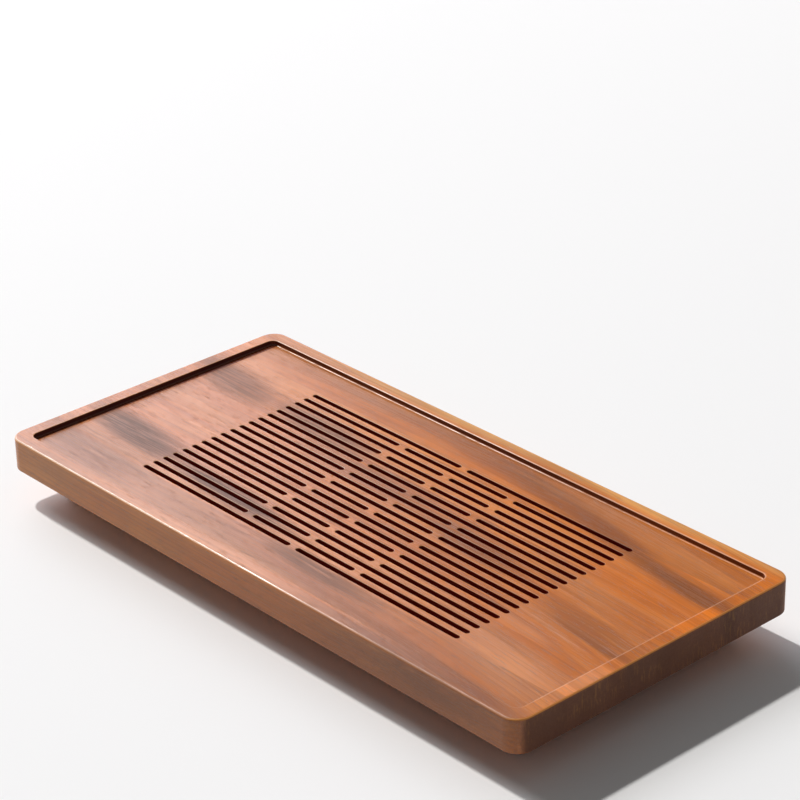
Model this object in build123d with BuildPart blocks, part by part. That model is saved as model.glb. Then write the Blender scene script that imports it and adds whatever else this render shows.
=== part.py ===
from build123d import *
import os

os.makedirs("parts", exist_ok=True)

# A low tea tray of oiled walnut, in millimetres.
# A slotted slab stands on an inset base with a drip drawer that pulls out at the right end.
# +X runs along the slab, +Y away from the person who pours, +Z up; the table is at zero height.

# Overall sizes
tray_length = 500.0
tray_width = 240.0
slab_thickness = 24.0
base_height = 20.0
foot_height = 3.0
base_inset = 24.5

# Slab edges and the sunken deck
plan_corner_radius = 12.0
top_edge_radius = 1.6
bottom_edge_radius = 1.0
rim_width = 11.2
recess_depth = 3.6
recess_corner_radius = 5.5
rim_arris_radius = 0.6
cove_radius = 1.2

# Drain slots: rows with one bridge in the middle alternate with rows with two bridges
slot_pitch = 8.35
slot_width = 3.8
slot_rows = 19
slot_field_length = 308.8
slot_bridge = 6.8
side_bridge_distance = 52.6
slot_easing = 0.3

# Glue lines between the staves, counted in slot pitches from the middle of the slab
seam_pitch_shares = [-9.5, -5.5, -0.5, 4.5, 9.5]

# Battens let into the underside, across the staves
batten_width = 22.0
batten_thickness = 9.0
batten_end_gap = 1.0

# Base rails and their bottom board
rail_thickness = 11.5
end_rail_thickness = 12.0
base_corner_radius = 4.0
base_edge_chamfer = 0.8
board_thickness = 3.5
board_lift = 1.5
board_groove_depth = 2.0

# Dowels between the end rail and the long rails
frame_dowel_diameter = 5.0
frame_dowel_length = 22.0
frame_dowel_depth = 6.0
frame_dowel_height_shares = [0.3, 0.7]

# Pan-head screws that hold the rails to the slab
slab_screw_diameter = 3.5
slab_screw_length = 28.0
slab_screw_head_diameter = 6.0
slab_screw_head_height = 2.4
slab_screw_head_round = 0.6
counterbore_diameter = 6.4
counterbore_depth = 5.0
slab_screw_batten_gap = 22.0
slab_screws_per_rail = 4
end_screw_dowel_gap = 8.0
end_screws = 2

# Countersunk screws that hold the battens
batten_screw_diameter = 3.5
batten_screw_length = 18.0
batten_screw_head_diameter = 7.0
batten_screw_head_height = 2.2
batten_screw_sink = 0.3
batten_screw_spacing = 60.0
batten_screws_each = 3

# Cross recess and point of both screws
screw_tip = 4.0
drive_length = 3.2
drive_width = 0.8
drive_depth = 1.1

# Rubber feet with stems
foot_diameter = 9.5
foot_edge_round = 0.8
foot_stem_diameter = 4.6
foot_stem_length = 7.0
foot_end_distance = 30.0

# Drawer
drawer_front_thickness = 12.0
drawer_side_thickness = 5.0
drawer_back_thickness = 6.0
drawer_side_gap = 0.5
drawer_top_gap = 0.7
drawer_glide_gap = 0.3
drawer_front_floor_gap = 0.6
front_edge_round = 0.8
front_board_gap = 0.5
pin_diameter = 2.4
pin_length = 16.0
pin_height_shares = [0.25, 0.7]

# Finger groove in the drawer front
finger_groove_length = 84.0
finger_groove_height = 9.0
finger_groove_depth = 7.0
finger_groove_easing = 0.6

# Glide strips under the drawer sides, and the bumpers it closes against
glide_width = 6.0
glide_thickness = 1.0
glide_wall_gap = 0.5
bumper_diameter = 8.0
bumper_thickness = 1.5
bumper_gap = 0.3
bumper_spacing = 110.0
bumpers = 2

# Drip pan hung by its flange in the drawer frame
pan_sheet = 0.8
pan_wall_gap = 0.4
pan_flange_margin = 1.0
pan_floor_gap = 1.5
pan_corner_radius = 6.0
pan_bend_radius = 2.0

# Fits and cutting allowances
fit_clearance = 0.05
hole_end_gap = 0.5
shank_clearance = 0.25
overcut = 5.0

# Heights worked out from the sizes above
slab_bottom_z = foot_height + base_height
slab_top_z = slab_bottom_z + slab_thickness
deck_z = slab_top_z - recess_depth
board_z = foot_height + board_lift
board_top_z = board_z + board_thickness
drawer_bottom_z = board_top_z + glide_thickness + drawer_glide_gap
drawer_top_z = slab_bottom_z - drawer_top_gap
drawer_front_bottom_z = foot_height + drawer_front_floor_gap
frame_top_z = drawer_top_z - pan_sheet
pan_floor_z = board_top_z + pan_floor_gap
screw_seat_z = foot_height + counterbore_depth
batten_screw_z = slab_bottom_z + batten_screw_sink

# Plan sizes worked out from the sizes above
recess_length = tray_length - 2 * rim_width
recess_width = tray_width - 2 * rim_width
base_length = tray_length - 2 * base_inset
base_width = tray_width - 2 * base_inset
base_end_x = base_length / 2
rail_inner_y = base_width / 2 - rail_thickness
rail_mid_y = base_width / 2 - rail_thickness / 2
rail_screw_y = (rail_inner_y + board_groove_depth + base_width / 2) / 2
end_rail_inner_x = -base_end_x + end_rail_thickness
end_rail_mid_x = -base_end_x + end_rail_thickness / 2
front_rear_x = base_end_x - drawer_front_thickness
board_left_x = end_rail_inner_x - board_groove_depth
board_right_x = front_rear_x - front_board_gap
board_length = board_right_x - board_left_x
board_mid_x = (board_left_x + board_right_x) / 2
board_width = 2 * (rail_inner_y + board_groove_depth)
batten_mid_x = (slot_field_length / 2 - end_rail_inner_x) / 2
batten_length = 2 * (rail_inner_y - batten_end_gap)
slab_screw_reach = batten_mid_x - batten_width / 2 - slab_screw_batten_gap
slab_screw_spacing = 2 * slab_screw_reach / (slab_screws_per_rail - 1)
end_screw_spacing = 2 * (rail_inner_y + frame_dowel_depth - frame_dowel_length - end_screw_dowel_gap)
foot_x = base_end_x - foot_end_distance
drawer_half_width = rail_inner_y - drawer_side_gap
drawer_inner_y = drawer_half_width - drawer_side_thickness
drawer_rear_x = end_rail_inner_x + bumper_thickness + bumper_gap
drawer_back_inner_x = drawer_rear_x + drawer_back_thickness
drawer_height = frame_top_z - drawer_bottom_z
flange_left_x = drawer_rear_x + pan_flange_margin
flange_right_x = front_rear_x - pan_wall_gap
flange_length = flange_right_x - flange_left_x
flange_width = 2 * (drawer_half_width - pan_flange_margin)
pan_length = front_rear_x - drawer_back_inner_x - 2 * pan_wall_gap
pan_width = 2 * (drawer_inner_y - pan_wall_gap)
pan_mid_x = (front_rear_x + drawer_back_inner_x) / 2
frame_dowel_heights = [
    board_top_z + share * (slab_bottom_z - board_top_z) for share in frame_dowel_height_shares
]
pin_heights = [drawer_bottom_z + share * drawer_height for share in pin_height_shares]
frame_dowel_holes = [(end_rail_mid_x, height) for height in frame_dowel_heights]

# Screw places, shared by the screws and every hole that they pass through
rail_screw_places = GridLocations(slab_screw_spacing, 2 * rail_screw_y, slab_screws_per_rail, 2)
end_screw_places = GridLocations(0, end_screw_spacing, 1, end_screws)
slab_screw_points = [(place.position.X, place.position.Y) for place in rail_screw_places]
slab_screw_points += [(end_rail_mid_x, place.position.Y) for place in end_screw_places]
batten_screw_places = GridLocations(2 * batten_mid_x, batten_screw_spacing, 2, batten_screws_each)
batten_screw_points = [(place.position.X, place.position.Y) for place in batten_screw_places]

# Slab as glued up, before it is told apart into its staves
with BuildPart() as slab_blank:
    with BuildSketch(Plane.XY.offset(slab_bottom_z)):
        RectangleRounded(tray_length, tray_width, plan_corner_radius)
    extrude(amount=slab_thickness)
    fillet(slab_blank.faces().sort_by(Axis.Z)[-1].edges(), top_edge_radius)
    fillet(slab_blank.faces().sort_by(Axis.Z)[0].edges(), bottom_edge_radius)

    # Sunken deck, with a small cove at the foot of the rim and an eased inner arris
    with BuildSketch(Plane.XY.offset(deck_z)):
        RectangleRounded(recess_length, recess_width, recess_corner_radius)
    extrude(amount=recess_depth, mode=Mode.SUBTRACT)
    fillet(slab_blank.edges().filter_by_position(Axis.Z, deck_z, deck_z), cove_radius)
    fillet(slab_blank.faces().sort_by(Axis.Z)[-1].inner_wires()[0].edges(), rim_arris_radius)

    # Drain slots through the deck, with their upper edges eased
    with BuildSketch(Plane.XY.offset(slab_bottom_z)):
        for row in range(slot_rows):
            row_y = (row - (slot_rows - 1) / 2) * slot_pitch
            field_end = slot_field_length / 2
            half_bridge = slot_bridge / 2
            if row % 2 == 0:
                spans = [(-field_end, -half_bridge), (half_bridge, field_end)]
            else:
                inner_end = side_bridge_distance - half_bridge
                outer_start = side_bridge_distance + half_bridge
                spans = [(-field_end, -outer_start), (-inner_end, inner_end), (outer_start, field_end)]
            for start, end in spans:
                with Locations(((start + end) / 2, row_y)):
                    SlotOverall(end - start, slot_width)
    extrude(amount=slab_thickness, mode=Mode.SUBTRACT)
    deck_face = slab_blank.faces().filter_by(Axis.Z).group_by(Axis.Z)[-2].sort_by(SortBy.AREA)[-1]
    chamfer(deck_face.inner_wires().edges(), slot_easing)

    # Beds for the two battens
    with BuildSketch(Plane.XY.offset(slab_bottom_z)):
        with GridLocations(2 * batten_mid_x, 0, 2, 1):
            Rectangle(batten_width, batten_length)
    extrude(amount=batten_thickness, mode=Mode.SUBTRACT)

    # Pilot holes for the rail screws and for the batten screws
    with BuildSketch(Plane.XY.offset(slab_bottom_z)):
        with Locations(*slab_screw_points):
            Circle(slab_screw_diameter / 2 + fit_clearance)
    extrude(amount=screw_seat_z + slab_screw_length + hole_end_gap - slab_bottom_z, mode=Mode.SUBTRACT)
    with BuildSketch(Plane.XY.offset(slab_bottom_z)):
        with Locations(*batten_screw_points):
            Circle(batten_screw_diameter / 2 + fit_clearance)
    extrude(amount=batten_screw_sink + batten_screw_length + hole_end_gap, mode=Mode.SUBTRACT)

# Staves of the slab, from the front edge to the back edge
stave_edges = [share * slot_pitch for share in seam_pitch_shares]
stave_edges = [-tray_width / 2] + stave_edges + [tray_width / 2]
for number, (low_y, high_y) in enumerate(zip(stave_edges, stave_edges[1:]), start=1):
    with BuildPart() as slab_stave:
        with BuildSketch(Plane.XY.offset(slab_bottom_z)):
            with Locations((0, (low_y + high_y) / 2)):
                Rectangle(tray_length, high_y - low_y)
        extrude(amount=slab_thickness)
        add(slab_blank.part, mode=Mode.INTERSECT)
    slab_stave.part.label = f"slab_stave_{number}"
    export_step(slab_stave.part, f"parts/slab_stave_{number}.step")

# Countersunk screw of the battens, its head flush with zero height
batten_screw_radius = batten_screw_diameter / 2
batten_head_radius = batten_screw_head_diameter / 2
with BuildPart() as batten_screw:
    with BuildSketch(Plane.XZ):
        with BuildLine():
            Polyline(
                (0, 0),
                (batten_head_radius, 0),
                (batten_screw_radius, batten_screw_head_height),
                (batten_screw_radius, batten_screw_length - screw_tip),
                (0, batten_screw_length),
                close=True,
            )
        make_face()
    revolve(axis=Axis.Z)
    with BuildSketch():
        Rectangle(drive_length, drive_width)
        Rectangle(drive_width, drive_length)
    extrude(amount=drive_depth, mode=Mode.SUBTRACT)

# Countersunk hole that the batten screw sits in
with BuildPart() as batten_screw_hole:
    with BuildSketch(Plane.XZ):
        with BuildLine():
            Polyline(
                (0, -overcut),
                (batten_head_radius + fit_clearance, -overcut),
                (batten_head_radius + fit_clearance, 0),
                (batten_screw_radius + fit_clearance, batten_screw_head_height),
                (batten_screw_radius + fit_clearance, batten_thickness + overcut),
                (0, batten_thickness + overcut),
                close=True,
            )
        make_face()
    revolve(axis=Axis.Z)

# Battens across the underside of the slab
for name, side in (("left", -1), ("right", 1)):
    with BuildPart() as slab_batten:
        with BuildSketch(Plane.XY.offset(slab_bottom_z)):
            with Locations((side * batten_mid_x, 0)):
                Rectangle(batten_width, batten_length)
        extrude(amount=batten_thickness)
        with Locations(*[(x, y, batten_screw_z) for x, y in batten_screw_points if x * side > 0]):
            add(batten_screw_hole.part, mode=Mode.SUBTRACT)
    slab_batten.part.label = f"slab_batten_{name}"
    export_step(slab_batten.part, f"parts/slab_batten_{name}.step")

# All the batten screws
with BuildPart() as batten_screws:
    with Locations(*[(x, y, batten_screw_z) for x, y in batten_screw_points]):
        add(batten_screw.part)
batten_screws.part.label = "batten_screws"
export_step(batten_screws.part, "parts/batten_screws.step")

# Front long rail of the base
with BuildPart() as base_front_rail:
    with BuildSketch(Plane.XY.offset(foot_height)):
        with Locations((0, -rail_mid_y)):
            Rectangle(base_length, rail_thickness)
    extrude(amount=base_height)
    fillet(base_front_rail.edges().filter_by(Axis.Z).group_by(Axis.Y)[0], base_corner_radius)
    chamfer(base_front_rail.faces().sort_by(Axis.Z)[0].edges(), base_edge_chamfer)
    with BuildSketch(Plane.XY.offset(board_z)):
        with Locations((board_mid_x, 0)):
            Rectangle(board_length, board_width)
    extrude(amount=board_thickness, mode=Mode.SUBTRACT)
    with BuildSketch(Plane.XZ.offset(rail_inner_y - overcut)):
        with Locations(*frame_dowel_holes):
            Circle(frame_dowel_diameter / 2 + fit_clearance)
    extrude(amount=overcut + frame_dowel_depth + hole_end_gap, mode=Mode.SUBTRACT)
    with BuildSketch(Plane.XY.offset(foot_height)):
        with GridLocations(slab_screw_spacing, 2 * rail_screw_y, slab_screws_per_rail, 2):
            Circle(slab_screw_diameter / 2 + shank_clearance)
    extrude(amount=base_height, mode=Mode.SUBTRACT)
    with BuildSketch(Plane.XY.offset(foot_height)):
        with GridLocations(slab_screw_spacing, 2 * rail_screw_y, slab_screws_per_rail, 2):
            Circle(counterbore_diameter / 2)
    extrude(amount=counterbore_depth, mode=Mode.SUBTRACT)
    with BuildSketch(Plane.XY.offset(foot_height)):
        with GridLocations(2 * foot_x, 2 * rail_mid_y, 2, 2):
            Circle(foot_stem_diameter / 2 + fit_clearance)
    extrude(amount=foot_stem_length + hole_end_gap, mode=Mode.SUBTRACT)
base_front_rail.part.label = "base_front_rail"
export_step(base_front_rail.part, "parts/base_front_rail.step")

# Back long rail, the front one's mirror image
with BuildPart() as base_back_rail:
    mirror(base_front_rail.part, about=Plane.XZ)
base_back_rail.part.label = "base_back_rail"
export_step(base_back_rail.part, "parts/base_back_rail.step")

# Closed end rail between the long rails
with BuildPart() as base_end_rail:
    with BuildSketch(Plane.XY.offset(foot_height)):
        with Locations((end_rail_mid_x, 0)):
            Rectangle(end_rail_thickness, 2 * rail_inner_y)
    extrude(amount=base_height)
    chamfer(base_end_rail.faces().sort_by(Axis.Z)[0].edges().filter_by(Axis.Y), base_edge_chamfer)
    with BuildSketch(Plane.XY.offset(board_z)):
        with Locations((board_mid_x, 0)):
            Rectangle(board_length, board_width)
    extrude(amount=board_thickness, mode=Mode.SUBTRACT)
    with BuildSketch(Plane.XZ.offset(-rail_inner_y)):
        with Locations(*frame_dowel_holes):
            Circle(frame_dowel_diameter / 2 + fit_clearance)
    extrude(amount=frame_dowel_length - frame_dowel_depth + hole_end_gap, mode=Mode.SUBTRACT)
    with BuildSketch(Plane.XZ.offset(rail_inner_y)):
        with Locations(*frame_dowel_holes):
            Circle(frame_dowel_diameter / 2 + fit_clearance)
    extrude(amount=-(frame_dowel_length - frame_dowel_depth + hole_end_gap), mode=Mode.SUBTRACT)
    with BuildSketch(Plane.XY.offset(foot_height)):
        with Locations((end_rail_mid_x, 0)):
            with GridLocations(0, end_screw_spacing, 1, end_screws):
                Circle(slab_screw_diameter / 2 + shank_clearance)
    extrude(amount=base_height, mode=Mode.SUBTRACT)
    with BuildSketch(Plane.XY.offset(foot_height)):
        with Locations((end_rail_mid_x, 0)):
            with GridLocations(0, end_screw_spacing, 1, end_screws):
                Circle(counterbore_diameter / 2)
    extrude(amount=counterbore_depth, mode=Mode.SUBTRACT)
base_end_rail.part.label = "base_end_rail"
export_step(base_end_rail.part, "parts/base_end_rail.step")

# Dowels of the base frame
with BuildPart() as frame_dowels:
    with BuildSketch(Plane.XZ.offset(rail_inner_y + frame_dowel_depth)):
        with Locations(*frame_dowel_holes):
            Circle(frame_dowel_diameter / 2)
    extrude(amount=-frame_dowel_length)
    mirror(frame_dowels.part, about=Plane.XZ)
frame_dowels.part.label = "frame_dowels"
export_step(frame_dowels.part, "parts/frame_dowels.step")

# Bottom board, held in the grooves of the three rails
with BuildPart() as base_bottom_board:
    with BuildSketch(Plane.XY.offset(board_z)):
        with Locations((board_mid_x, 0)):
            Rectangle(board_length, board_width)
    extrude(amount=board_thickness)
base_bottom_board.part.label = "base_bottom_board"
export_step(base_bottom_board.part, "parts/base_bottom_board.step")

# Pan-head screw that holds a rail to the slab, its seat at zero height
slab_screw_radius = slab_screw_diameter / 2
slab_head_radius = slab_screw_head_diameter / 2
with BuildPart() as slab_screw:
    with BuildSketch(Plane.XZ):
        with BuildLine():
            Polyline(
                (0, -slab_screw_head_height),
                (slab_head_radius, -slab_screw_head_height),
                (slab_head_radius, 0),
                (slab_screw_radius, 0),
                (slab_screw_radius, slab_screw_length - screw_tip),
                (0, slab_screw_length),
                close=True,
            )
        make_face()
    revolve(axis=Axis.Z)
    fillet(slab_screw.faces().sort_by(Axis.Z)[0].edges(), slab_screw_head_round)
    with BuildSketch(Plane.XY.offset(-slab_screw_head_height)):
        Rectangle(drive_length, drive_width)
        Rectangle(drive_width, drive_length)
    extrude(amount=drive_depth, mode=Mode.SUBTRACT)

# All the screws up through the rails
with BuildPart() as slab_screws:
    with Locations(*[(x, y, screw_seat_z) for x, y in slab_screw_points]):
        add(slab_screw.part)
slab_screws.part.label = "slab_screws"
export_step(slab_screws.part, "parts/slab_screws.step")

# Rubber feet with stems pressed up into the long rails
foot_corners = (
    ("front_left", -foot_x, -rail_mid_y),
    ("front_right", foot_x, -rail_mid_y),
    ("back_left", -foot_x, rail_mid_y),
    ("back_right", foot_x, rail_mid_y),
)
for name, x, y in foot_corners:
    with BuildPart() as foot:
        with BuildSketch():
            with Locations((x, y)):
                Circle(foot_diameter / 2)
        extrude(amount=foot_height)
        fillet(foot.faces().sort_by(Axis.Z)[0].edges(), foot_edge_round)
        with BuildSketch(Plane.XY.offset(foot_height)):
            with Locations((x, y)):
                Circle(foot_stem_diameter / 2)
        extrude(amount=foot_stem_length)
    foot.part.label = f"foot_{name}"
    export_step(foot.part, f"parts/foot_{name}.step")

# Glide strips on the bottom board, under the drawer sides
with BuildPart() as drawer_glide_front:
    with BuildSketch(Plane.XY.offset(board_top_z)):
        with Locations(((end_rail_inner_x + board_right_x) / 2, -rail_inner_y + glide_wall_gap)):
            Rectangle(
                board_right_x - end_rail_inner_x,
                glide_width,
                align=(Align.CENTER, Align.MIN),
            )
    extrude(amount=glide_thickness)
drawer_glide_front.part.label = "drawer_glide_front"
export_step(drawer_glide_front.part, "parts/drawer_glide_front.step")

with BuildPart() as drawer_glide_back:
    mirror(drawer_glide_front.part, about=Plane.XZ)
drawer_glide_back.part.label = "drawer_glide_back"
export_step(drawer_glide_back.part, "parts/drawer_glide_back.step")

# Bumpers on the end rail that stop the closing drawer
bumper_z = (drawer_bottom_z + frame_top_z) / 2
with BuildPart() as drawer_bumpers:
    with BuildSketch(Plane.YZ.offset(end_rail_inner_x)):
        with Locations((0, bumper_z)):
            with GridLocations(bumper_spacing, 0, bumpers, 1):
                Circle(bumper_diameter / 2)
    extrude(amount=bumper_thickness)
drawer_bumpers.part.label = "drawer_bumpers"
export_step(drawer_bumpers.part, "parts/drawer_bumpers.step")

# Drawer front, with a finger groove outside
with BuildPart() as drawer_front:
    with BuildSketch(Plane.YZ.offset(front_rear_x)):
        with Locations((0, drawer_front_bottom_z)):
            Rectangle(
                2 * drawer_half_width,
                drawer_top_z - drawer_front_bottom_z,
                align=(Align.CENTER, Align.MIN),
            )
    extrude(amount=drawer_front_thickness)
    fillet(drawer_front.faces().sort_by(Axis.X)[-1].edges(), front_edge_round)
    with BuildSketch(Plane.YZ.offset(base_end_x - finger_groove_depth)):
        with Locations((0, (drawer_front_bottom_z + drawer_top_z) / 2)):
            SlotOverall(finger_groove_length, finger_groove_height)
    extrude(amount=finger_groove_depth, mode=Mode.SUBTRACT)
    chamfer(drawer_front.faces().sort_by(Axis.X)[-1].inner_wires()[0].edges(), finger_groove_easing)
    with BuildSketch(Plane.YZ.offset(front_rear_x)):
        for height in pin_heights:
            with Locations((0, height)):
                with GridLocations(2 * drawer_half_width - drawer_side_thickness, 0, 2, 1):
                    Circle(pin_diameter / 2 + fit_clearance)
    extrude(amount=pin_length / 2 + hole_end_gap, mode=Mode.SUBTRACT)
drawer_front.part.label = "drawer_front"
export_step(drawer_front.part, "parts/drawer_front.step")

# Drawer side on the front rail's side
with BuildPart() as drawer_side_front:
    with BuildSketch(Plane.XY.offset(drawer_bottom_z)):
        with Locations(((drawer_rear_x + front_rear_x) / 2, -drawer_half_width)):
            Rectangle(
                front_rear_x - drawer_rear_x,
                drawer_side_thickness,
                align=(Align.CENTER, Align.MIN),
            )
    extrude(amount=drawer_height)
    with BuildSketch(Plane.YZ.offset(front_rear_x)):
        for height in pin_heights:
            with Locations((-drawer_half_width + drawer_side_thickness / 2, height)):
                Circle(pin_diameter / 2 + fit_clearance)
    extrude(amount=-(pin_length / 2 + hole_end_gap), mode=Mode.SUBTRACT)
    with BuildSketch(Plane.XZ.offset(drawer_half_width)):
        for height in pin_heights:
            with Locations((drawer_rear_x + drawer_back_thickness / 2, height)):
                Circle(pin_diameter / 2 + fit_clearance)
    extrude(amount=-drawer_side_thickness, mode=Mode.SUBTRACT)
drawer_side_front.part.label = "drawer_side_front"
export_step(drawer_side_front.part, "parts/drawer_side_front.step")

# Drawer side on the back rail's side
with BuildPart() as drawer_side_back:
    mirror(drawer_side_front.part, about=Plane.XZ)
drawer_side_back.part.label = "drawer_side_back"
export_step(drawer_side_back.part, "parts/drawer_side_back.step")

# Drawer back between the two sides
with BuildPart() as drawer_back:
    with BuildSketch(Plane.XY.offset(drawer_bottom_z)):
        with Locations((drawer_rear_x, 0)):
            Rectangle(
                drawer_back_thickness,
                2 * drawer_inner_y,
                align=(Align.MIN, Align.CENTER),
            )
    extrude(amount=drawer_height)
    with BuildSketch(Plane.XZ.offset(drawer_inner_y)):
        for height in pin_heights:
            with Locations((drawer_rear_x + drawer_back_thickness / 2, height)):
                Circle(pin_diameter / 2 + fit_clearance)
    extrude(amount=-(pin_length - drawer_side_thickness + hole_end_gap), mode=Mode.SUBTRACT)
    with BuildSketch(Plane.XZ.offset(-drawer_inner_y)):
        for height in pin_heights:
            with Locations((drawer_rear_x + drawer_back_thickness / 2, height)):
                Circle(pin_diameter / 2 + fit_clearance)
    extrude(amount=pin_length - drawer_side_thickness + hole_end_gap, mode=Mode.SUBTRACT)
drawer_back.part.label = "drawer_back"
export_step(drawer_back.part, "parts/drawer_back.step")

# Wooden pins in the four corners of the drawer
with BuildPart() as drawer_pins:
    with BuildSketch(Plane.YZ.offset(front_rear_x - pin_length / 2)):
        for height in pin_heights:
            with Locations((-drawer_half_width + drawer_side_thickness / 2, height)):
                Circle(pin_diameter / 2)
    extrude(amount=pin_length)
    with BuildSketch(Plane.XZ.offset(drawer_half_width)):
        for height in pin_heights:
            with Locations((drawer_rear_x + drawer_back_thickness / 2, height)):
                Circle(pin_diameter / 2)
    extrude(amount=-pin_length)
    mirror(drawer_pins.part, about=Plane.XZ)
drawer_pins.part.label = "drawer_pins"
export_step(drawer_pins.part, "parts/drawer_pins.step")

# Steel drip pan, pressed from one sheet
with BuildPart() as drip_pan:
    with BuildSketch(Plane.XY.offset(pan_floor_z)):
        with Locations((pan_mid_x, 0)):
            RectangleRounded(pan_length, pan_width, pan_corner_radius)
    extrude(amount=drawer_top_z - pan_floor_z)
    fillet(drip_pan.faces().sort_by(Axis.Z)[0].edges(), pan_bend_radius)
    with BuildSketch(Plane.XY.offset(frame_top_z)):
        with Locations(((flange_left_x + flange_right_x) / 2, 0)):
            RectangleRounded(flange_length, flange_width, pan_corner_radius)
    extrude(amount=pan_sheet)
    with BuildSketch(Plane.XY.offset(pan_floor_z + pan_sheet)):
        with Locations((pan_mid_x, 0)):
            RectangleRounded(
                pan_length - 2 * pan_sheet,
                pan_width - 2 * pan_sheet,
                pan_corner_radius - pan_sheet,
            )
    extrude(amount=frame_top_z - pan_floor_z, mode=Mode.SUBTRACT)
    inner_floor_z = pan_floor_z + pan_sheet
    inner_edges = drip_pan.edges().filter_by_position(Axis.Z, inner_floor_z, inner_floor_z)
    fillet(inner_edges, pan_bend_radius - pan_sheet)
drip_pan.part.label = "drip_pan"
export_step(drip_pan.part, "parts/drip_pan.step")
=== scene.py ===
import math

import bmesh
import bpy
from mathutils import Matrix, Vector


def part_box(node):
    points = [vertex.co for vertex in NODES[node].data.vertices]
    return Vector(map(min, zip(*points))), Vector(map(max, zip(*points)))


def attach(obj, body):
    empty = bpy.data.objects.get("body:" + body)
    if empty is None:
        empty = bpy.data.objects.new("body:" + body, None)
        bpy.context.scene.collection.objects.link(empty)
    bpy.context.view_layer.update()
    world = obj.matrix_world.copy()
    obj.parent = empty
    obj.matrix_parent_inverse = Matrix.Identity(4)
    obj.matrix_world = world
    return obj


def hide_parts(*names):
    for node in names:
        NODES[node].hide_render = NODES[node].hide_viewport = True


bl_info = {
    "name": "Slotted Tea Tray",
    "version": (1, 0, 0),
    "blender": (4, 5, 0),
    "location": "3D View > Sidebar > Tea Tray",
    "description": "Finishes a slotted walnut tea tray with a drip drawer",
    "category": "Object",
}

# The frame, and the sizes that the finishes and the fine pieces follow
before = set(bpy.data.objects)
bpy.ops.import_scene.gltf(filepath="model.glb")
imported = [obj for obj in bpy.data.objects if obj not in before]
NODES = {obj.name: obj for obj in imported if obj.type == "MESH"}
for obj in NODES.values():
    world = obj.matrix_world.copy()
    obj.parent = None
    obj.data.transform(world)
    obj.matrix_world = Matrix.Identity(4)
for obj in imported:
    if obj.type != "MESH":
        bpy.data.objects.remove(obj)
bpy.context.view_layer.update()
MILLIMETRE = 0.001
STAVES = sorted(name for name in NODES if name.startswith("slab_stave_"))
FEET = sorted(name for name in NODES if name.startswith("foot_"))
SLAB_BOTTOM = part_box(STAVES[0])[0].z
SLAB_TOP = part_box(STAVES[0])[1].z
RIM_WIDTH = 0.0112
DECK = SLAB_TOP - 0.0036
WELL_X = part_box(STAVES[0])[1].x - RIM_WIDTH
WELL_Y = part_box(STAVES[-1])[1].y - RIM_WIDTH
PLIES = 3

# Tone of each stave, and where its heart line runs: beside its middle and below the slab
STAVE_TONES = (0.78, 0.97, 1.0, 0.98, 1.03, 0.98)
HEART_ASIDE = 0.030
HEART_BELOW = 0.075
HEART_STEP = 0.012

# How the trees weld, shade, thread and scatter their pieces
WELD = 0.00002
CREASE = 0.6
ROWS_A_TURN = 6
BLADE_SHARE = 0.22
TURN_SEED = 7

# Lamps: name, place, aim, size in metres, power in watts, tint
LAMPS = (
    ("window", (-14.50, 0.52, 17.36), (0.0, 0.0, 0.03), 1.12, 3680.0, (1.0, 0.98, 0.955)),
    ("wide_pane", (-12.56, 4.02, 7.60), (0.0, 0.0, 0.03), (11.0, 9.7), 1010.0,
     (0.95, 0.97, 1.06)),
    ("side_pane", (-8.24, -1.33, 7.38), (-0.1, -0.1, 0.03), (2.64, 3.96), 252.0,
     (1.0, 1.0, 1.0)),
)
ROOM_LIGHT = 0.165
FLOOR_REACH = 6.0
SENSOR_WIDTH = 36.0


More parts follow.
